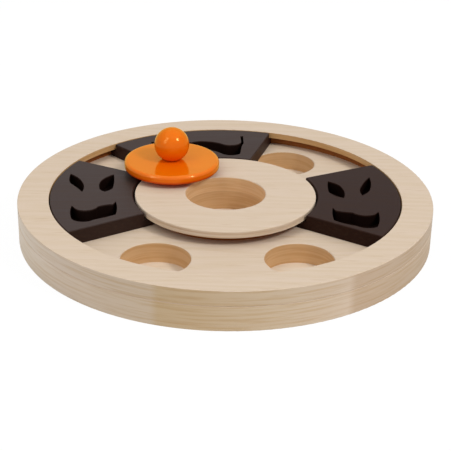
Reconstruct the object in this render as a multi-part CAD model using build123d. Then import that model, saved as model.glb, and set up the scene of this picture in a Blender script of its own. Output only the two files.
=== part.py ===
from build123d import *
import math
import os

# Round wooden treat puzzle for dogs. Three dark blocks slide round a circular track and cover
# treat pockets; a lid with a ball knob closes the cup in the hub.
# Millimetres, +Z up. The origin is the centre of the underside. Angles run anticlockwise from +X.

# ---------------------------------------------------------------- board
BOARD_R = 155.0          # outer radius of panel, pocket board and rim
PANEL_T = 3.0            # floor panel under the pockets
POCKET_BOARD_T = 15.4    # pocket board, so also the depth of the pockets
RIM_T = 11.6             # rim ring
RIM_W = 23.0             # width of the rim seen from above
GROOVE_DEPTH = 6.0       # undercut in the rim, behind the lip
GROOVE_H = 6.7           # height of that undercut above the board
OUTER_ROUND = 0.6        # rounding of the outer top and bottom edges
LIP_ROUND = 0.4          # rounding of the rim's inner top edge
LAYER_ROUND = 0.35       # broken edge at the glue line under the rim

# ---------------------------------------------------------------- pockets
POCKET_COUNT = 6
POCKET_R = 24.5
POCKET_START = 1.6       # angle of the first pocket
POCKET_ROUND = 0.8       # rounding of the pocket mouths

# ---------------------------------------------------------------- hub and cup
HUB_R = 68.0             # hub disc, inner side of the track
HUB_EDGE_T = 5.4         # thickness of its overhanging edge
HUB_ROUND = 0.8
HUB_OVERHANG = 10.0      # edge beyond the neck, the undercut for the inner tongues
NECK_H = 6.2             # neck that carries the edge above the board
CUP_R = 30.0
CUP_ROUND = 1.0

DOWEL_R = 3.0            # hub dowels
DOWEL_COUNT = 4
DOWEL_PITCH_R = 44.0
DOWEL_START = 45.0       # angle of the first dowel
DOWEL_IN_BOARD = 10.0
DOWEL_IN_HUB = 7.5
DOWEL_FIT = 0.05         # radial glue clearance

# ---------------------------------------------------------------- sliders
SLIDER_SPAN = 60.0       # angle that each block covers
SLIDER_IN_GAP = 1.6      # block to hub disc
SLIDER_OUT_GAP = 0.8     # block to rim lip
TONGUE_END_GAP = 0.8     # tongue end to neck and to groove wall
RUN_UNDER = 0.15         # block to board
RUN_OVER = 0.3           # tongue to the rim lip and the hub edge above it
SLIDER_DROP = 0.2        # top of the blocks below the top of the hub
SLIDER_CORNER = 1.2      # rounding of the upright corners
SLIDER_ROUND = 0.8       # rounding of the upper edges
SLOT_FLOOR = 2.4         # wood left under the finger slots
LEFT_AT = 183.2          # where the middle of each block stands
RIGHT_AT = 357.4
BACK_AT = 104.0

# Outlines of the finger slots: a start point, then (through, end) pairs, with None as the through
# point of a straight line and as the end that leads back to the start. The points run outward
# from the face's middle, then along the block; a face's go up the face. They are drawn for this
# span of the block, width of the track and radius of its middle, and stretch with all three.
DRAWN_FOR = (60.0, 64.0, 100.0)
FACE_IN = 2.5            # the face's middle inside the middle of the track
FACE_RIGHT = [
    [(12.5, 40.2), ((13.2, 27.0), (11.2, 13.0)), ((8.6, 8.4), (5.5, 4.4)),
     ((4.0, 12.0), (5.4, 21.5)), ((8.4, 31.0), None)],
    [(-19.9, 29.2), ((-15.6, 26.4), (-11.4, 22.4)), ((-8.0, 12.0), (-8.6, -1.6)),
     ((-14.8, 2.0), (-19.7, 8.8)), ((-20.3, 19.0), None)],
    [(-17.4, -19.8), (None, (-15.2, -24.6)), ((-9.0, -26.2), (-3.0, -26.8)),
     ((5.0, -31.3), (13.4, -28.4)), (None, (15.9, -23.8)), ((16.2, -36.5), (13.8, -50.0)),
     ((6.5, -52.6), (-1.4, -49.4)), ((-9.4, -46.4), (-17.0, -41.4)), ((-17.9, -30.0), None)],
]
FACE_LEFT = [
    [(20.9, 38.2), ((21.4, 29.0), (20.2, 20.2)), ((15.3, 12.6), (10.2, 3.2)),
     ((9.2, 12.0), (10.9, 22.0)), ((14.4, 30.2), None)],
    [(-12.6, 36.6), ((-8.2, 32.6), (-5.0, 28.2)), ((-2.3, 20.5), (-2.3, 12.0)),
     ((-3.6, 6.6), (-6.6, 3.6)), ((-10.0, 6.0), (-12.6, 10.0)), ((-13.3, 23.0), None)],
    [(-15.6, -14.2), (None, (-13.8, -19.2)), ((-7.8, -20.2), (-2.6, -23.2)),
     ((5.4, -29.9), (13.2, -26.8)), (None, (16.4, -21.2)), ((16.9, -33.0), (15.0, -44.6)),
     ((8.4, -49.2), (-0.6, -46.0)), ((-8.6, -42.0), (-16.2, -37.2)), ((-16.9, -26.0), None)],
]
# Half of the wavy slot in the back block, from its outer to its inner middle.
WAVE_HALF = [(9.5, 0.0), ((7.4, -9.0), (1.1, -18.0)), ((-3.7, -26.6), (1.2, -34.6)),
             (None, (14.6, -36.9)), (None, (14.3, -39.2)), (None, (-1.0, -36.2)),
             (None, (-7.6, -33.1)), (None, (-23.2, -28.2)), ((-25.4, -21.0), (-19.8, -13.2)),
             ((-12.0, -6.8), (-8.4, 0.0))]
WAVE_AT = -1.4           # turn of the slot from the middle of the block

# ---------------------------------------------------------------- lid
LID_X, LID_Y = -42.2, 40.2   # where the lid lies on the hub disc
LID_R = 36.9
LID_T = 6.5
LID_ROUND = 2.6          # rounding of the plate's upper edge
LID_UNDER_ROUND = 1.2    # and of its lower edge
PLUG_GAP = 1.0           # plug to cup
PLUG_T = 3.8
PLUG_ROUND = 0.8
KNOB_R = 13.5
KNOB_FLAT_R = 6.2        # seat of the ball on the plate
LID_DOWEL_R = 4.0
LID_DOWEL_IN_KNOB = 10.0
LID_DOWEL_IN_PLUG = 3.0

# ---------------------------------------------------------------- derived levels and radii
BOARD_Z = PANEL_T + POCKET_BOARD_T
TRACK_R = BOARD_R - RIM_W
GROOVE_R = TRACK_R + GROOVE_DEPTH
NECK_R = HUB_R - HUB_OVERHANG
POCKET_PITCH_R = (HUB_R + TRACK_R) / 2
FACE_R = POCKET_PITCH_R - FACE_IN
OUT_STRETCH = (TRACK_R - HUB_R) / DRAWN_FOR[1]
ALONG_STRETCH = SLIDER_SPAN / DRAWN_FOR[0] * POCKET_PITCH_R / DRAWN_FOR[2]
HUB_TOP = BOARD_Z + NECK_H + HUB_EDGE_T
SLIDER_Z0 = BOARD_Z + RUN_UNDER
SLIDER_Z1 = HUB_TOP - SLIDER_DROP
TONGUE_Z1 = BOARD_Z + min(GROOVE_H, NECK_H) - RUN_OVER
PLUG_R = CUP_R - PLUG_GAP
PLATE_Z0 = HUB_TOP + PLUG_T
PLATE_Z1 = PLATE_Z0 + LID_T
KNOB_Z = PLATE_Z1 + math.sqrt(KNOB_R ** 2 - KNOB_FLAT_R ** 2)


def disc(radius, z0, z1):
    """Solid cylinder about the Z axis between two levels."""
    return Pos(0, 0, z0) * Cylinder(radius, z1 - z0, align=(Align.CENTER, Align.CENTER, Align.MIN))


def ring(r_in, r_out, z0, z1):
    """Ring about the Z axis between two levels."""
    return disc(r_out, z0, z1) - disc(r_in, z0, z1)


def round_edges(solid, radius, rim_r, z):
    """Round the circular edges of one radius at one level, about any axis along Z."""
    picked = [e for e in solid.edges().filter_by(GeomType.CIRCLE)
              if abs(e.radius - rim_r) < 1e-3 and abs(e.arc_center.Z - z) < 1e-3]
    return fillet(picked, radius)


def sector(r_in, r_out, z0, z1):
    """Ring sector of the slider's span, centred on +X."""
    half = math.radians(SLIDER_SPAN / 2)
    c, s = math.cos(half), math.sin(half)
    wire = [
        Line((r_in * c, -r_in * s), (r_out * c, -r_out * s)),
        ThreePointArc((r_out * c, -r_out * s), (r_out, 0), (r_out * c, r_out * s)),
        Line((r_out * c, r_out * s), (r_in * c, r_in * s)),
        ThreePointArc((r_in * c, r_in * s), (r_in, 0), (r_in * c, -r_in * s)),
    ]
    return Pos(0, 0, z0) * extrude(make_face(wire), z1 - z0)


def outline(steps):
    """Closed outline from a start point and (through, end) steps."""
    at, edges = steps[0], []
    for through, end in steps[1:]:
        end = end or steps[0]
        edges.append(Line(at, end) if through is None else ThreePointArc(at, through, end))
        at = end
    return edges


def slot(steps, side=1):
    """Cutter for one slot, down to its floor; side -1 mirrors it along the block."""
    def placed(p):
        return p and (FACE_R + OUT_STRETCH * p[0], side * ALONG_STRETCH * p[1])

    steps = [placed(steps[0])] + [(placed(through), placed(end)) for through, end in steps[1:]]
    return Pos(0, 0, SLIDER_Z0 + SLOT_FLOOR) * extrude(make_face(outline(steps)), HUB_TOP - SLIDER_Z0)


def face_slots(outlines, side):
    """Eyes and mouth of a block; side +1 runs up the face anticlockwise, -1 mirrors it."""
    return [slot(steps, side) for steps in outlines]


def wave_slot():
    """The wide wavy slot: its half, then the same points mirrored and run back to the start."""
    ends = [WAVE_HALF[0]] + [end for _, end in WAVE_HALF[1:]]
    back = [(through and (through[0], -through[1]), (end[0], -end[1]))
            for (through, _), end in zip(WAVE_HALF[:0:-1], ends[-2::-1])]
    return [Rot(0, 0, WAVE_AT) * slot(WAVE_HALF + back)]


def slider(angle, cutters):
    """One block: body, inner tongue under the hub edge, outer tongue under the rim lip, slots."""
    r_in, r_out = HUB_R + SLIDER_IN_GAP, TRACK_R - SLIDER_OUT_GAP
    body = sector(r_in, r_out, SLIDER_Z0, SLIDER_Z1)
    body = fillet(body.edges().filter_by(Axis.Z), SLIDER_CORNER)
    body = fillet(body.faces().sort_by(Axis.Z)[-1].edges(), SLIDER_ROUND)
    body += sector(NECK_R + TONGUE_END_GAP, GROOVE_R - TONGUE_END_GAP, SLIDER_Z0, TONGUE_Z1)
    for cutter in cutters:
        body -= cutter
    return Rot(0, 0, angle) * body


# ---------------------------------------------------------------- board layers
bottom_panel = round_edges(disc(BOARD_R, 0, PANEL_T), OUTER_ROUND, BOARD_R, 0)

pocket_board = disc(BOARD_R, PANEL_T, BOARD_Z) - disc(CUP_R, PANEL_T, BOARD_Z)
pocket_board = round_edges(pocket_board, LAYER_ROUND, BOARD_R, BOARD_Z)
for place in PolarLocations(POCKET_PITCH_R, POCKET_COUNT, start_angle=POCKET_START):
    pocket_board -= place * disc(POCKET_R, PANEL_T, BOARD_Z)
pocket_board = round_edges(pocket_board, POCKET_ROUND, POCKET_R, BOARD_Z)

rim_ring = ring(TRACK_R, BOARD_R, BOARD_Z, BOARD_Z + RIM_T)
rim_ring -= disc(GROOVE_R, BOARD_Z, BOARD_Z + GROOVE_H)
rim_ring = round_edges(rim_ring, OUTER_ROUND, BOARD_R, BOARD_Z + RIM_T)
rim_ring = round_edges(rim_ring, LIP_ROUND, TRACK_R, BOARD_Z + RIM_T)
rim_ring = round_edges(rim_ring, LAYER_ROUND, BOARD_R, BOARD_Z)

# ---------------------------------------------------------------- hub
hub_disc = ring(CUP_R, HUB_R, BOARD_Z + NECK_H, HUB_TOP)
hub_disc = round_edges(hub_disc, HUB_ROUND, HUB_R, HUB_TOP)
hub_disc = round_edges(hub_disc, HUB_ROUND, HUB_R, BOARD_Z + NECK_H)
hub_disc = round_edges(hub_disc, CUP_ROUND, CUP_R, HUB_TOP)
hub_disc += ring(CUP_R, NECK_R, BOARD_Z, BOARD_Z + NECK_H)

dowel_z0, dowel_z1 = BOARD_Z - DOWEL_IN_BOARD, BOARD_Z + DOWEL_IN_HUB
dowel_places = PolarLocations(DOWEL_PITCH_R, DOWEL_COUNT, start_angle=DOWEL_START)
for place in dowel_places:
    hole = place * disc(DOWEL_R + DOWEL_FIT, dowel_z0, dowel_z1)
    pocket_board -= hole
    hub_disc -= hole
hub_dowels = Compound(children=[place * disc(DOWEL_R, dowel_z0, dowel_z1) for place in dowel_places])

# ---------------------------------------------------------------- lid, lying beside the cup
lid_dowel_z0 = PLATE_Z0 - LID_DOWEL_IN_PLUG
lid_dowel_z1 = PLATE_Z1 + LID_DOWEL_IN_KNOB
lid_hole = disc(LID_DOWEL_R + DOWEL_FIT, lid_dowel_z0, lid_dowel_z1)
lid_plug = round_edges(disc(PLUG_R, HUB_TOP, PLATE_Z0), PLUG_ROUND, PLUG_R, HUB_TOP) - lid_hole
lid_plate = disc(LID_R, PLATE_Z0, PLATE_Z1)
lid_plate = round_edges(lid_plate, LID_ROUND, LID_R, PLATE_Z1)
lid_plate = round_edges(lid_plate, LID_UNDER_ROUND, LID_R, PLATE_Z0) - lid_hole
lid_knob = Pos(0, 0, KNOB_Z) * Sphere(KNOB_R) - disc(KNOB_R, PLATE_Z0, PLATE_Z1) - lid_hole
lid_dowel = disc(LID_DOWEL_R, lid_dowel_z0, lid_dowel_z1)

nodes = {
    "bottom_panel": bottom_panel,
    "pocket_board": pocket_board,
    "rim_ring": rim_ring,
    "hub_disc": hub_disc,
    "hub_dowels": hub_dowels,
    "slider_left": slider(LEFT_AT, face_slots(FACE_LEFT, -1)),
    "slider_right": slider(RIGHT_AT, face_slots(FACE_RIGHT, 1)),
    "slider_back": slider(BACK_AT, wave_slot()),
}
for name, shape in (("lid_plug", lid_plug), ("lid_plate", lid_plate),
                    ("lid_knob", lid_knob), ("lid_dowel", lid_dowel)):
    nodes[name] = Pos(LID_X, LID_Y, 0) * shape

os.makedirs("parts", exist_ok=True)
for name, shape in nodes.items():
    export_step(shape, f"parts/{name}.step")
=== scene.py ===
"""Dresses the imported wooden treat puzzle: timber, stain and lacquer, floor, light and camera.

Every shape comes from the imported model, in metres, and keeps its place there. This script gives
each piece the finish of the real one and softens the machined edges of the blocks.
"""

from __future__ import annotations

import logging
import math
from dataclasses import dataclass
from enum import Enum
from typing import Any, Iterable

import bpy
from mathutils import Matrix, Vector


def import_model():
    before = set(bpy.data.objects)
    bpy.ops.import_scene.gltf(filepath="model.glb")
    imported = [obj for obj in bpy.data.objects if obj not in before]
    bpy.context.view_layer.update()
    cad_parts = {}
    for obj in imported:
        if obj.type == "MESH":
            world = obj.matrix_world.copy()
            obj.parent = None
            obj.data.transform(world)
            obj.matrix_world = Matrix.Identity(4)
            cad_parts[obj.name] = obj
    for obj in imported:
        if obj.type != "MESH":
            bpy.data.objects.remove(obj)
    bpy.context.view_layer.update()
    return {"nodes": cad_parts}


LOG = logging.getLogger("treat_puzzle")
MM = 0.001

Colour = tuple[float, float, float, float]
Point = tuple[float, float, float]
Span = tuple[float, float]
Socket = bpy.types.NodeSocket

# The Z of a normal, from a face that still counts as level to one that is fully a wall.
LEVEL, UPRIGHT = 0.75, 0.15


def srgb(hex_code: str) -> Colour:
    """Turn an sRGB hex colour into the linear colour that a shader reads.

    Args:
        hex_code: six hex digits, with or without a leading #.

    Returns:
        Linear red, green and blue with an alpha of 1.
    """
    digits = hex_code.lstrip("#")
    channels = [int(digits[i:i + 2], 16) / 255 for i in (0, 2, 4)]
    linear = [c / 12.92 if c <= 0.04045 else ((c + 0.055) / 1.055) ** 2.4 for c in channels]
    return (linear[0], linear[1], linear[2], 1.0)


class NodeBook:
    """The node tree of one material or world, with one way to add a node."""

    def __init__(self, tree: bpy.types.NodeTree) -> None:
        """Start on an empty tree.

        Args:
            tree: the node tree to fill; its nodes are removed first.
        """
        self.tree = tree
        tree.nodes.clear()

    def add(self, kind: str, inputs: dict[Any, Any] | None = None,
            **settings: Any) -> bpy.types.Node:
        """Add one node, set it up and link it.

        Args:
            kind: the node's type, such as "ShaderNodeTexNoise".
            inputs: socket name or number to a constant, or to an output socket to link from.
            **settings: the node's own properties, such as operation="MULTIPLY".

        Returns:
            The new node.
        """
        node = self.tree.nodes.new(kind)
        for name, value in settings.items():
            setattr(node, name, value)
        for key, value in (inputs or {}).items():
            if isinstance(value, Socket):
                self.tree.links.new(value, node.inputs[key])
            else:
                node.inputs[key].default_value = value
        return node


def new_material(name: str) -> tuple[bpy.types.Material, NodeBook]:
    """Make an empty node material.

    Args:
        name: the material's name.

    Returns:
        The material and the book of its node tree.
    """
    material = bpy.data.materials.new(name)
    material.use_nodes = True
    return material, NodeBook(material.node_tree)


def seen_ray(book: NodeBook) -> Socket:
    """Tell the rays that show the background from those that light the object.

    Args:
        book: the tree's book.

    Returns:
        1 for what the camera sees, by itself or in gloss or glass, and 0 for light.
    """
    path = book.add("ShaderNodeLightPath").outputs
    seen = path["Is Camera Ray"]
    for kind in ("Is Glossy Ray", "Is Transmission Ray"):
        seen = book.add("ShaderNodeMath", {0: seen, 1: path[kind]}, operation="MAXIMUM").outputs[0]
    return seen


def sized(book: NodeBook, place: Socket, size_mm: Point) -> Socket:
    """Scale coordinates so that one step of a pattern has a real size.

    Args:
        book: the tree's book.
        place: the coordinates, in metres.
        size_mm: the step along each axis, in millimetres.

    Returns:
        The coordinates, counted in steps.
    """
    steps = tuple(1 / (size * MM) for size in size_mm)
    return book.add("ShaderNodeVectorMath", {0: place, 1: steps},
                    operation="MULTIPLY").outputs["Vector"]


def off_axis(book: NodeBook, place: Socket) -> tuple[Socket, Socket]:
    """Measure how far a spot is from the board's upright axis.

    Args:
        book: the tree's book.
        place: the object coordinates, in metres.

    Returns:
        The way there from the axis, and its length.
    """
    flat = book.add("ShaderNodeVectorMath", {0: place, 1: (1.0, 1.0, 0.0)},
                    operation="MULTIPLY").outputs["Vector"]
    return flat, book.add("ShaderNodeVectorMath", {0: flat}, operation="LENGTH").outputs["Value"]


class Grain(Enum):
    """Which way the fibres of a piece run, as the turn about Z that brings them onto X."""

    ACROSS = 0.0
    ALONG = 90.0


@dataclass(frozen=True)
class PaleTimber:
    """Solid birch, planed, sanded to 240 grit and clear oiled.

    The eye gets a pale, almost even cream with soft streaks along the fibres. The walls show the
    staves of the glued panel, each in its own tone with a painted sheen and painted shade mixed in,
    and fine level streaks. Bored and turned walls inside the board get a warmer, darker painted
    shade, and the undercuts a brown painted shade.

    A size that ends in _mm is in millimetres. A _cut is the span of the noise over which a pattern
    fades in, and a _share is how strong it gets.
    """

    name: str
    grain: Grain = Grain.ACROSS
    seed: float = 0.0
    seed_step: Point = (0.37, 0.21, 0.11)
    face: str = "#D8C4AF"
    early: str = "#D3BEA4"
    late: str = "#C4A988"
    ring_mm: float = 9.0
    ring_slope: float = 3.0
    ring_share: float = 0.55
    wander_mm: float = 90.0
    wander_cell_mm: Point = (333.33, 55.56, 55.56)
    streak_mm: Point = (64.0, 1.6, 1.6)
    streak_cut: Span = (0.42, 0.72)
    streak_share: float = 0.6
    fleck_mm: Point = (16.667, 1.111, 1.111)
    fleck_cut: Span = (0.62, 0.8)
    fleck_share: float = 0.55
    wall: str = "#EDDFCC"
    wall_share: float = 0.85
    fibre: str = "#F4ECDF"
    fibre_mm: Point = (48.0, 48.0, 1.6)
    fibre_cut: Span = (0.42, 0.66)
    # Painted shade: a warmer, darker tone for the walls and undersides of recesses, between two
    # radii.
    recess_shade: str = "#D4AE81"
    recess_shade_mm: Span = (0.0, 0.0)
    # The brown tone draws the real glue lines and, between the undercut radii, a painted shade.
    joint_and_undercut_shade: str = "#9A5C2A"
    undercut_shade_mm: Span = (0.0, 0.0)
    stave_and_light_tints: tuple[tuple[float, str], ...] = ()
    lines_mm: tuple[float, ...] = ()
    line_edge_mm: Span = (0.6, 0.2)
    line_share: float = 0.2
    relief: float = 0.12
    relief_mm: float = 0.1
    roughness: float = 0.55
    specular: float = 0.2
    ior: float = 1.5

    def material(self) -> bpy.types.Material:
        """Build the timber.

        Returns:
            The finished material.
        """
        material, book = new_material(self.name)
        add = book.add
        place = add("ShaderNodeTexCoord").outputs["Object"]
        turned = add("ShaderNodeMapping", {
            "Vector": place,
            "Location": tuple(self.seed * step for step in self.seed_step),
            "Rotation": (0.0, 0.0, math.radians(-self.grain.value)),
        }).outputs["Vector"]
        # Fibre streaks: 1.6 mm wide and 64 mm long, coarser than real fibres so they show.
        streaks = add("ShaderNodeTexNoise", {
            "Vector": sized(book, turned, self.streak_mm),
            "Scale": 1.0, "Detail": 3.0, "Roughness": 0.6,
        }).outputs["Fac"]
        colour = self._flecked(book, turned, self._grained(book, turned, streaks))

        # Walls: `upright` counts every steep face, `hidden` takes in the undersides too.
        normal = add("ShaderNodeNewGeometry").outputs["Normal"]
        up = add("ShaderNodeSeparateXYZ", {"Vector": normal}).outputs["Z"]
        level = add("ShaderNodeMath", {0: up}, operation="ABSOLUTE").outputs[0]
        upright, hidden = (add("ShaderNodeMapRange", {
            "Value": tilt, "From Min": LEVEL, "From Max": UPRIGHT, "To Min": 0.0, "To Max": 1.0,
        }, interpolation_type="SMOOTHSTEP").outputs["Result"] for tilt in (level, up))
        walled = add("ShaderNodeMath", {0: upright, 1: self.wall_share},
                     operation="MULTIPLY").outputs[0]
        colour = add("ShaderNodeMix", {"Factor": walled, 6: colour, 7: srgb(self.wall)},
                     data_type="RGBA").outputs[2]
        spot = add("ShaderNodeSeparateXYZ", {"Vector": place}).outputs
        # Stave tints: each stave's own tone plus painted light, a painted sheen at the left end and
        # painted shade at the right.
        colour = self._tinted_by_stave_and_light(book, spot["X"], upright, colour)
        colour = self._lined(book, spot["Z"], upright, colour)
        radius = off_axis(book, place)[1]
        # Painted shade: walls and undersides in the recesses get a warmer, darker tone, and the
        # undercuts a brown one.
        for band, tone in ((self.recess_shade_mm, self.recess_shade), (self.undercut_shade_mm, self.joint_and_undercut_shade)):
            if band[1] > band[0]:
                colour = self._painted_shade_band(book, radius, hidden, band, tone, colour)
        colour = self._fibrous(book, turned, upright, colour)

        relief = add("ShaderNodeBump", {
            "Strength": self.relief, "Distance": self.relief_mm * MM, "Height": streaks,
        }).outputs["Normal"]
        shader = add("ShaderNodeBsdfPrincipled", {
            "Base Color": colour, "Roughness": self.roughness, "IOR": self.ior,
            "Specular IOR Level": self.specular, "Normal": relief,
        })
        add("ShaderNodeOutputMaterial", {"Surface": shader.outputs[0]})
        return material

    def _grained(self, book: NodeBook, turned: Socket, streaks: Socket) -> Socket:
        """Draw the annual rings and the streaks: washed-out bands, as on a flat-sawn face.

        Args:
            book: the tree's book.
            turned: the coordinates, with the fibres along X.
            streaks: the noise of the fibre streaks.

        Returns:
            The colour of the grain.
        """
        add = book.add
        wander = add("ShaderNodeTexNoise", {
            "Vector": sized(book, turned, self.wander_cell_mm),
            "Scale": 1.0, "Detail": 2.0, "Roughness": 0.5,
        }).outputs["Fac"]
        axis = add("ShaderNodeSeparateXYZ", {"Vector": turned}).outputs
        depth = add("ShaderNodeMath", {0: axis["Z"], 1: self.ring_slope},
                    operation="MULTIPLY").outputs[0]
        across = add("ShaderNodeMath", {0: axis["Y"], 1: depth}, operation="ADD").outputs[0]
        shifted = add("ShaderNodeMath", {0: wander, 1: self.wander_mm * MM, 2: across},
                      operation="MULTIPLY_ADD").outputs[0]
        wave = add("ShaderNodeMath", {0: shifted, 1: 2 * math.pi / (self.ring_mm * MM)},
                   operation="MULTIPLY").outputs[0]
        rings = add("ShaderNodeMath", {0: wave}, operation="SINE").outputs[0]
        rings_soft = add("ShaderNodeMapRange", {
            "Value": rings, "From Min": -1.0, "To Min": 0.0, "To Max": self.ring_share,
        }, interpolation_type="SMOOTHSTEP").outputs["Result"]
        streaks_soft = add("ShaderNodeMapRange", {
            "Value": streaks, "From Min": self.streak_cut[0], "From Max": self.streak_cut[1],
            "To Min": 0.0, "To Max": self.streak_share,
        }, interpolation_type="SMOOTHSTEP").outputs["Result"]
        figure = add("ShaderNodeMath", {0: rings_soft, 1: streaks_soft}, operation="ADD",
                     use_clamp=True).outputs[0]
        return add("ShaderNodeMix", {"Factor": figure, 6: srgb(self.face), 7: srgb(self.early)},
                   data_type="RGBA").outputs[2]

    def _flecked(self, book: NodeBook, turned: Socket, colour: Socket) -> Socket:
        """Add sparse darker flecks, where a vessel or a ray is cut open.

        Args:
            book: the tree's book.
            turned: the coordinates, with the fibres along X.
            colour: the colour so far.

        Returns:
            The colour with the flecks.
        """
        flecks = book.add("ShaderNodeTexNoise", {
            "Vector": sized(book, turned, self.fleck_mm),
            "Scale": 1.0, "Detail": 1.0, "Roughness": 0.4,
        }).outputs["Fac"]
        share = book.add("ShaderNodeMapRange", {
            "Value": flecks, "From Min": self.fleck_cut[0], "From Max": self.fleck_cut[1],
            "To Min": 0.0, "To Max": self.fleck_share,
        }).outputs["Result"]
        return book.add("ShaderNodeMix", {"Factor": share, 6: colour, 7: srgb(self.late)},
                        data_type="RGBA").outputs[2]

    def _fibrous(self, book: NodeBook, turned: Socket, upright: Socket, colour: Socket) -> Socket:
        """Draw the oiled fibres of the walls as fine level streaks, all round the board.

        Args:
            book: the tree's book.
            turned: the coordinates, with the fibres along X.
            upright: how upright the surface is.
            colour: the colour so far.

        Returns:
            The colour with the streaks.
        """
        fibres = book.add("ShaderNodeTexNoise", {
            "Vector": sized(book, turned, self.fibre_mm),
            "Scale": 1.0, "Detail": 3.0, "Roughness": 0.6,
        }).outputs["Fac"]
        share = book.add("ShaderNodeMapRange", {
            "Value": fibres, "From Min": self.fibre_cut[0], "From Max": self.fibre_cut[1],
            "To Min": 0.0, "To Max": upright,
        }, interpolation_type="SMOOTHSTEP").outputs["Result"]
        return book.add("ShaderNodeMix", {"Factor": share, 6: colour, 7: srgb(self.fibre)},
                        data_type="RGBA", blend_type="MULTIPLY").outputs[2]

    def _tinted_by_stave_and_light(self, book: NodeBook, along: Socket, upright: Socket, colour: Socket) -> Socket:
        """Tint the walls stave by stave, where the glued panel changes from board to board, partly
        as painted light: a painted sheen at the left end and painted shade at the right.

        Args:
            book: the tree's book.
            along: the coordinate across the staves, in metres.
            upright: how upright the surface is.
            colour: the colour so far.

        Returns:
            The tinted colour.
        """
        if not self.stave_and_light_tints:
            return colour
        lowest, highest = self.stave_and_light_tints[0][0] * MM, self.stave_and_light_tints[-1][0] * MM
        place = book.add("ShaderNodeMapRange", {
            "Value": along, "From Min": lowest, "From Max": highest, "To Min": 0.0, "To Max": 1.0,
        }).outputs["Result"]
        ramp = book.add("ShaderNodeValToRGB", {"Fac": place})
        stops = ramp.color_ramp.elements
        for number, (start, tint) in enumerate(self.stave_and_light_tints):
            where = (start * MM - lowest) / (highest - lowest)
            # A new ramp already has its first two stops.
            stop = stops[number] if number < 2 else stops.new(where)
            stop.position = where
            stop.color = srgb(tint)
        tinted = book.add("ShaderNodeMix", {"Factor": upright, 6: colour, 7: ramp.outputs["Color"]},
                          data_type="RGBA", blend_type="MULTIPLY")
        return tinted.outputs[2]

    def _lined(self, book: NodeBook, height: Socket, upright: Socket, colour: Socket) -> Socket:
        """Darken thin glue lines on the walls, one for each level.

        Args:
            book: the tree's book.
            height: the Z coordinate.
            upright: how upright the surface is.
            colour: the colour so far.

        Returns:
            The colour with the lines.
        """
        add = book.add
        faint, full = self.line_edge_mm
        for level in self.lines_mm:
            near = add("ShaderNodeMath", {0: height, 1: level * MM},
                       operation="SUBTRACT").outputs[0]
            away = add("ShaderNodeMath", {0: near}, operation="ABSOLUTE").outputs[0]
            band = add("ShaderNodeMapRange", {
                "Value": away, "From Min": faint * MM, "From Max": full * MM,
                "To Min": 0.0, "To Max": self.line_share,
            }).outputs["Result"]
            share = add("ShaderNodeMath", {0: band, 1: upright}, operation="MULTIPLY").outputs[0]
            colour = add("ShaderNodeMix", {"Factor": share, 6: colour, 7: srgb(self.joint_and_undercut_shade)},
                         data_type="RGBA").outputs[2]
        return colour

    def _painted_shade_band(self, book: NodeBook, radius: Socket, hidden: Socket, band: Span, tone: str,
                colour: Socket) -> Socket:
        """Paint shade onto the walls and undersides between two radii.

        Args:
            book: the tree's book.
            radius: the distance from the Z axis, in metres.
            hidden: 1 on walls and undersides, 0 on what faces up.
            band: the two radii in millimetres.
            tone: the colour of the painted shade there.
            colour: the colour so far.

        Returns:
            The colour with the band.
        """
        share = hidden
        for limit, kind in zip(band, ("GREATER_THAN", "LESS_THAN")):
            met = book.add("ShaderNodeMath", {0: radius, 1: limit * MM}, operation=kind).outputs[0]
            share = book.add("ShaderNodeMath", {0: met, 1: share}, operation="MULTIPLY").outputs[0]
        return book.add("ShaderNodeMix", {"Factor": share, 6: colour, 7: srgb(tone)},
                        data_type="RGBA").outputs[2]


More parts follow.
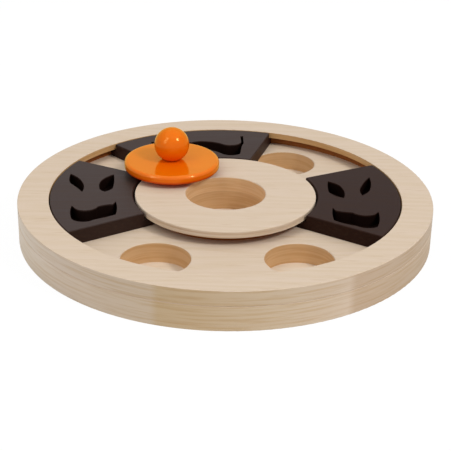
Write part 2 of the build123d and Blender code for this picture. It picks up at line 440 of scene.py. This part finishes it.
@dataclass(frozen=True)
class StainedTimber:
    """Hardwood with a water-based dark brown stain, left matt.

    The eye gets an almost black brown with a dull sheen on top, in which the grain only shows as a
    change of shine and a few lighter streaks where the stain was wiped off. The finger slots get a
    near-black painted shade and a duller shine.
    """

    name: str
    middle: float = 0.0
    grain_turn: float = 0.0
    seed: float = 0.0
    seed_step: Point = (1.0, 0.7, 0.0)
    stain: str = "#28150F"
    wiped: str = "#36251B"
    wiped_cut: Span = (0.4, 0.75)
    wiped_share: float = 0.7
    streak_mm: Point = (42.0, 1.4, 1.4)
    # Painted shade: the near-black set into the finger slots.
    painted_shade: str = "#150A07"
    slot_mm: Span = (73.0, 127.0)
    slot_half: float = 26.5
    slot_top_mm: float = 28.9
    slot_dullness: float = 0.2
    relief: float = 0.25
    relief_mm: float = 0.1
    roughness: Span = (0.45, 0.58)
    gloss_cut: Span = (0.3, 0.7)
    sheen: float = 0.25
    ior: float = 1.5

    def material(self) -> bpy.types.Material:
        """Build the stained timber.

        Returns:
            The finished material.
        """
        material, book = new_material(self.name)
        add = book.add
        place = add("ShaderNodeTexCoord").outputs["Object"]
        turned = add("ShaderNodeMapping", {
            "Vector": place,
            "Location": tuple(self.seed * step for step in self.seed_step),
            "Rotation": (0.0, 0.0, math.radians(-self.grain_turn)),
        }).outputs["Vector"]
        # Fibres 1.4 mm wide and 42 mm long, coarser than real ones so they show.
        fibres = add("ShaderNodeTexNoise", {
            "Vector": sized(book, turned, self.streak_mm),
            "Scale": 1.0, "Detail": 4.0, "Roughness": 0.65,
        }).outputs["Fac"]
        wiped = add("ShaderNodeMapRange", {
            "Value": fibres, "From Min": self.wiped_cut[0], "From Max": self.wiped_cut[1],
            "To Min": 0.0, "To Max": self.wiped_share,
        }, interpolation_type="SMOOTHSTEP").outputs["Result"]
        colour = add("ShaderNodeMix", {"Factor": wiped, 6: srgb(self.stain), 7: srgb(self.wiped)},
                     data_type="RGBA").outputs[2]
        # Painted shade: the slots' walls and floors are set near black, with a duller shine.
        inside = self._in_slots(book, place)
        colour = add("ShaderNodeMix", {"Factor": inside, 6: colour, 7: srgb(self.painted_shade)},
                     data_type="RGBA").outputs[2]
        dull = add("ShaderNodeMapRange", {
            "Value": inside, "To Min": self.sheen, "To Max": self.sheen * self.slot_dullness,
        }).outputs["Result"]
        gloss = add("ShaderNodeMapRange", {
            "Value": fibres, "From Min": self.gloss_cut[0], "From Max": self.gloss_cut[1],
            "To Min": self.roughness[0], "To Max": self.roughness[1],
        }).outputs["Result"]
        relief = add("ShaderNodeBump", {
            "Strength": self.relief, "Distance": self.relief_mm * MM, "Height": fibres,
        }).outputs["Normal"]
        shader = add("ShaderNodeBsdfPrincipled", {
            "Base Color": colour, "Roughness": gloss, "IOR": self.ior,
            "Specular IOR Level": dull, "Normal": relief,
        })
        add("ShaderNodeOutputMaterial", {"Surface": shader.outputs[0]})
        return material

    def _in_slots(self, book: NodeBook, place: Socket) -> Socket:
        """Tell the slots' walls and floors from the rest of the block.

        Args:
            book: the tree's book.
            place: the object coordinates, in metres.

        Returns:
            1 inside the slots, 0 elsewhere.
        """
        add = book.add
        middle = math.radians(self.middle)
        flat, radius = off_axis(book, place)
        ahead = add("ShaderNodeVectorMath", {
            0: flat, 1: (math.cos(middle), math.sin(middle), 0.0),
        }, operation="DOT_PRODUCT").outputs["Value"]
        facing = add("ShaderNodeMath", {0: ahead, 1: radius}, operation="DIVIDE").outputs[0]
        height = add("ShaderNodeSeparateXYZ", {"Vector": place}).outputs["Z"]
        tests = (
            (facing, "GREATER_THAN", math.cos(math.radians(self.slot_half))),
            (radius, "GREATER_THAN", self.slot_mm[0] * MM),
            (radius, "LESS_THAN", self.slot_mm[1] * MM),
            (height, "LESS_THAN", self.slot_top_mm * MM),
        )
        inside: Any = 1.0
        for value, kind, limit in tests:
            met = add("ShaderNodeMath", {0: value, 1: limit}, operation=kind).outputs[0]
            inside = add("ShaderNodeMath", {0: met, 1: inside}, operation="MULTIPLY").outputs[0]
        return inside


@dataclass(frozen=True)
class OrangeLacquer:
    """Turned wood, sprayed with opaque orange lacquer and cured glossy.

    The eye gets a saturated orange with sharp, slightly wavy reflections. The lacquer's clear upper
    layer is a little amber, so what shines through it turns warmer at a flat angle, and a band at
    the lower edge gets a redder painted shade. Its coat only tints: the shine is that of the
    lacquer itself.
    """

    name: str
    orange: str = "#FB710F"
    deep: str = "#F3690C"
    mottle_mm: float = 12.0
    amber: str = "#F7FAB2"
    amber_ior: float = 1.05
    # Painted shade: the deeper red of the lower edge, below the heights that follow.
    painted_shade: str = "#D03C08"
    edge_shade_mm: Span = (0.0, 0.0)
    wave_mm: float = 6.0
    relief: float = 0.05
    relief_mm: float = 0.2
    roughness: float = 0.12
    specular: float = 0.5
    ior: float = 1.5

    def material(self) -> bpy.types.Material:
        """Build the lacquer.

        Returns:
            The finished material.
        """
        material, book = new_material(self.name)
        add = book.add
        place = add("ShaderNodeTexCoord").outputs["Object"]
        # The spray leaves a faint mottle about 12 mm across, and slow waves about 6 mm apart.
        mottle = add("ShaderNodeTexNoise", {
            "Vector": place, "Scale": 1 / (self.mottle_mm * MM), "Detail": 2.0, "Roughness": 0.5,
        }).outputs["Fac"]
        colour = add("ShaderNodeMix", {"Factor": mottle, 6: srgb(self.orange), 7: srgb(self.deep)},
                     data_type="RGBA").outputs[2]
        # Painted shade: the lower edge turns a deeper red below the band's top.
        if self.edge_shade_mm[1] > self.edge_shade_mm[0]:
            height = add("ShaderNodeSeparateXYZ", {"Vector": place}).outputs["Z"]
            edge_shade = add("ShaderNodeMapRange", {
                "Value": height, "From Min": self.edge_shade_mm[1] * MM, "From Max": self.edge_shade_mm[0] * MM,
                "To Min": 0.0, "To Max": 1.0,
            }, interpolation_type="SMOOTHSTEP").outputs["Result"]
            colour = add("ShaderNodeMix", {"Factor": edge_shade, 6: colour, 7: srgb(self.painted_shade)},
                         data_type="RGBA").outputs[2]
        waves = add("ShaderNodeTexNoise", {
            "Vector": place, "Scale": 1 / (self.wave_mm * MM), "Detail": 1.0, "Roughness": 0.4,
        }).outputs["Fac"]
        relief = add("ShaderNodeBump", {
            "Strength": self.relief, "Distance": self.relief_mm * MM, "Height": waves,
        }).outputs["Normal"]
        shader = add("ShaderNodeBsdfPrincipled", {
            "Base Color": colour, "Roughness": self.roughness, "IOR": self.ior,
            "Specular IOR Level": self.specular, "Normal": relief,
            "Coat Weight": 1.0, "Coat IOR": self.amber_ior, "Coat Roughness": self.roughness,
            "Coat Tint": srgb(self.amber), "Coat Normal": relief,
        })
        add("ShaderNodeOutputMaterial", {"Surface": shader.outputs[0]})
        return material


def beech_dowel(name: str, seed: float) -> bpy.types.Material:
    """Build steamed beech for a dowel, a little darker and redder than the board.

    Args:
        name: the material's name.
        seed: the number that picks its part of the grain.

    Returns:
        The finished material.
    """
    return PaleTimber(name, grain=Grain.ALONG, seed=seed, face="#D9BE99", early="#CDAE86",
                      late="#B08E66").material()


@dataclass
class Dressing:
    """What the sub-assemblies share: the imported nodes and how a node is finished."""

    nodes: dict[str, bpy.types.Object]
    edge_mm: float = 0.4
    edge_angle: float = 40.0
    edge_segments: int = 2
    weld_mm: float = 0.001

    def finish(self, node: str, material: bpy.types.Material, soften: bool = False) -> None:
        """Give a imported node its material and, if asked, break its sharp edges.

        Args:
            node: the node's name.
            material: its finish.
            soften: True to break the edges that machining left sharp.
        """
        piece = self.nodes[node]
        piece.data.materials.clear()
        piece.data.materials.append(material)
        if soften:
            weld = piece.modifiers.new("weld", "WELD")
            weld.merge_threshold = self.weld_mm * MM
            broken = piece.modifiers.new("broken_edges", "BEVEL")
            broken.width = self.edge_mm * MM
            broken.segments = self.edge_segments
            broken.limit_method = "ANGLE"
            broken.angle_limit = math.radians(self.edge_angle)
            broken.harden_normals = False
            broken.use_clamp_overlap = True
        LOG.info("%s: %s", node, material.name)


@dataclass
class Board:
    """The layered round board: floor panel, pocket board and rim ring."""

    dressing: Dressing
    joint_mm: float = 18.4
    # Radii of the painted shade: the pocket walls, the rim's lip and the rim's groove.
    recess_shade_mm: Span = (0.0, 150.0)
    lip_shade_mm: Span = (131.0, 135.0)
    groove_shade_mm: Span = (135.0, 140.0)
    # Stave tints: partly each stave's own tone, partly painted light; the pale grey-blue tints at
    # the left are a painted sheen, the darker ones at the right painted shade.
    stave_and_light_tints: tuple[tuple[float, str], ...] = (
        (-156.0, "#F1F3F6"), (-110.0, "#E3DEDC"), (-48.0, "#DED6CC"), (-43.0, "#D7C9B1"),
        (-15.0, "#DACCB6"), (35.0, "#E3D9CB"), (83.0, "#EBE3DD"), (88.0, "#DACCBF"),
        (156.0, "#CEC4B8"),
    )

    def build(self) -> None:
        """Dress the three layers, each cut from its own panel."""
        outer = {"stave_and_light_tints": self.stave_and_light_tints, "lines_mm": (self.joint_mm,)}
        layers = {
            "bottom_panel": PaleTimber(
                "birch_panel_oiled", seed=1.3, face="#E2D3BF", early="#DDCBB3", late="#D0B999",
                stave_and_light_tints=self.stave_and_light_tints),
            # Painted shade on the pocket board: a warmer, darker tone on the pocket walls.
            "pocket_board": PaleTimber(
                "birch_board_oiled", seed=2.1, recess_shade_mm=self.recess_shade_mm, **outer),
            # Painted shade on the rim: a warmer, darker lip wall and a brown groove under it.
            "rim_ring": PaleTimber(
                "birch_rim_oiled", seed=4.7, wall="#E9DBC9", recess_shade="#CFA673",
                recess_shade_mm=self.lip_shade_mm, undercut_shade_mm=self.groove_shade_mm, **outer),
        }
        for node, timber in layers.items():
            self.dressing.finish(node, timber.material())


@dataclass
class Hub:
    """The rebated hub with the cup's mouth, and the dowels that hold it."""

    dressing: Dressing
    # Radii of the painted shade: the cup's wall and the neck under the rebate.
    cup_shade_mm: Span = (0.0, 33.0)
    neck_shade_mm: Span = (50.0, 67.0)
    layer_mm: float = 28.0

    def build(self) -> None:
        """Dress the hub and its dowels."""
        # Painted shade in the hub: a warmer, darker cup wall and a brown neck under the rebate.
        hub = PaleTimber("birch_hub_oiled", seed=7.9, wall_share=0.3, recess_shade="#E4BF92",
                         recess_shade_mm=self.cup_shade_mm, undercut_shade_mm=self.neck_shade_mm,
                         lines_mm=(self.layer_mm,)).material()
        self.dressing.finish("hub_disc", hub)
        self.dressing.finish("hub_dowels", beech_dowel("beech_dowel", seed=3.3))


@dataclass
class Sliders:
    """The three dark blocks on the track: each one's middle in degrees, and its sheen."""

    dressing: Dressing
    blocks: tuple[tuple[str, float, float], ...] = (
        ("slider_left", 183.2, 0.2), ("slider_right", 357.4, 0.07), ("slider_back", 104.0, 0.17),
    )
    quarter: float = 90.0
    seed_step: float = 0.31

    def build(self) -> None:
        """Dress each block, its fibres along or square to its middle, whichever is nearer X."""
        half = self.quarter / 2
        for number, (node, middle, sheen) in enumerate(self.blocks):
            stained = StainedTimber(f"stained_{node}", middle=middle, sheen=sheen,
                                    seed=self.seed_step * number,
                                    grain_turn=(middle + half) % self.quarter - half)
            self.dressing.finish(node, stained.material(), soften=True)


@dataclass
class Lid:
    """The lacquered lid: plate, plug, ball and the dowel inside."""

    dressing: Dressing
    # Heights in mm of the painted shade on the plate's lower edge.
    edge_shade_mm: Span = (34.6, 36.6)

    def build(self) -> None:
        """Dress the lid: a matt coat below whose deeper, redder orange is painted shade, more
        lacquer on the ball than on the plate.
        """
        coats = {
            # Painted shade: the plug's deeper, redder orange stands in for the shade and orange
            # bounce under the plate.
            "lid_plug": OrangeLacquer("orange_lacquer_matt_shaded", orange="#F84A08", deep="#F04006",
                                      roughness=0.35, specular=0.0),
            "lid_plate": OrangeLacquer("orange_lacquer_gloss", edge_shade_mm=self.edge_shade_mm),
            "lid_knob": OrangeLacquer("orange_lacquer_polished", orange="#FC760B",
                                      deep="#F46E09", amber="#F6F49A", roughness=0.15,
                                      specular=0.4),
        }
        for node, coat in coats.items():
            self.dressing.finish(node, coat.material())
        self.dressing.finish("lid_dowel", beech_dowel("beech_lid_dowel", seed=5.2))


@dataclass(frozen=True)
class AreaLamp:
    """One rectangular studio lamp, in degrees, metres and watts."""

    name: str
    azimuth: float
    elevation: float
    distance: float
    size: Span
    power: float
    aim: Point = (0.0, 0.0, 0.02)

    def build(self) -> None:
        """Hang the lamp, turned to its aim."""
        data = bpy.data.lights.new(self.name, "AREA")
        data.shape = "RECTANGLE"
        data.size, data.size_y = self.size
        data.energy = self.power
        lamp = bpy.data.objects.new(self.name, data)
        a, e = math.radians(self.azimuth), math.radians(self.elevation)
        out = Vector((math.cos(a) * math.cos(e), math.sin(a) * math.cos(e), math.sin(e)))
        lamp.location = Vector(self.aim) + out * self.distance
        lamp.rotation_mode = "QUATERNION"
        lamp.rotation_quaternion = out.to_track_quat("Z", "Y")
        bpy.context.scene.collection.objects.link(lamp)


@dataclass
class Studio:
    """Pale floor, white surround, lamps and camera."""

    floor_r: float = 6.0
    floor_corners: int = 96
    floor_drop_mm: float = 0.2
    floor_paint: str = "#F2F2F2"
    floor_white: float = 0.94
    floor_glow: float = 1.02
    sky: float = 0.4
    white: str = "#FFFFFF"
    lamps: tuple[AreaLamp, ...] = (
        AreaLamp("ceiling", 60.0, 80.0, 1.5, (2.2, 2.2), 7.1),
        AreaLamp("glint", -31.8, 45.4, 2.7, (0.56, 0.56), 28.5),
        AreaLamp("fill", -143.0, 41.0, 1.5, (0.42, 1.15), 5.2),
    )
    elevation: float = 25.489
    distance: float = 0.9454
    target: Point = (0.000444, 0.0, 0.00262)
    roll: float = 1.0013
    lens: float = 98.985
    sensor: float = 36.0
    clip: Span = (0.05, 50.0)

    def build(self) -> None:
        """Set up the whole studio."""
        self._floor()
        self._surround()
        for lamp in self.lamps:
            lamp.build()
        self._camera()
        bpy.context.scene.view_settings.view_transform = "Standard"

    def _floor(self) -> None:
        """Lay a wide pale disc under the board that looks white and keeps the soft shadow."""
        bpy.ops.object.select_all(action="DESELECT")
        bpy.ops.mesh.primitive_circle_add(vertices=self.floor_corners, radius=self.floor_r,
                                          fill_type="NGON",
                                          location=(0.0, 0.0, -self.floor_drop_mm * MM))
        floor = bpy.context.object
        floor.name = "floor"
        material, book = new_material("pale_floor")
        paint = book.add("ShaderNodeBsdfDiffuse", {"Color": srgb(self.floor_paint)}).outputs[0]
        glow = book.add("ShaderNodeEmission", {
            "Color": srgb(self.white), "Strength": self.floor_glow,
        }).outputs[0]
        share = book.add("ShaderNodeMath", {0: seen_ray(book), 1: self.floor_white},
                         operation="MULTIPLY").outputs[0]
        mixed = book.add("ShaderNodeMixShader", {0: share, 1: paint, 2: glow}).outputs[0]
        book.add("ShaderNodeOutputMaterial", {"Surface": mixed})
        floor.data.materials.append(material)

    def _surround(self) -> None:
        """Make the world white where the camera or a reflection sees it, softer as a light."""
        world = bpy.data.worlds.new("surround")
        bpy.context.scene.world = world
        world.use_nodes = True
        book = NodeBook(world.node_tree)
        strength = book.add("ShaderNodeMapRange", {
            "Value": seen_ray(book), "To Min": self.sky, "To Max": 1.0,
        }).outputs["Result"]
        light = book.add("ShaderNodeBackground", {
            "Color": srgb(self.white), "Strength": strength,
        }).outputs[0]
        book.add("ShaderNodeOutputWorld", {"Surface": light})

    def _camera(self) -> None:
        """Place the camera: low in front of the board, a long lens, leaning one degree."""
        data = bpy.data.cameras.new("camera")
        data.lens = self.lens
        data.sensor_width = self.sensor
        data.clip_start, data.clip_end = self.clip
        camera = bpy.data.objects.new("camera", data)
        e, r = math.radians(self.elevation), math.radians(self.roll)
        back = Vector((0.0, -math.cos(e), math.sin(e)))
        flat, rise = Vector((1.0, 0.0, 0.0)), Vector((0.0, math.sin(e), math.cos(e)))
        right = flat * math.cos(r) + rise * math.sin(r)
        up = rise * math.cos(r) - flat * math.sin(r)
        turn = Matrix((right, up, back)).transposed().to_4x4()
        spot = Vector(self.target) + back * self.distance
        camera.matrix_world = Matrix.Translation(spot) @ turn
        bpy.context.scene.collection.objects.link(camera)
        bpy.context.scene.camera = camera


def main() -> None:
    """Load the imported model, dress each sub-assembly and set up the studio."""
    logging.basicConfig(level=logging.INFO, format="%(name)s %(message)s")
    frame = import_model()
    dressing = Dressing(frame["nodes"])
    for part in (Board(dressing), Hub(dressing), Sliders(dressing), Lid(dressing)):
        part.build()
        LOG.info("%s dressed", type(part).__name__)
    Studio().build()


if __name__ == "__main__":
    main()
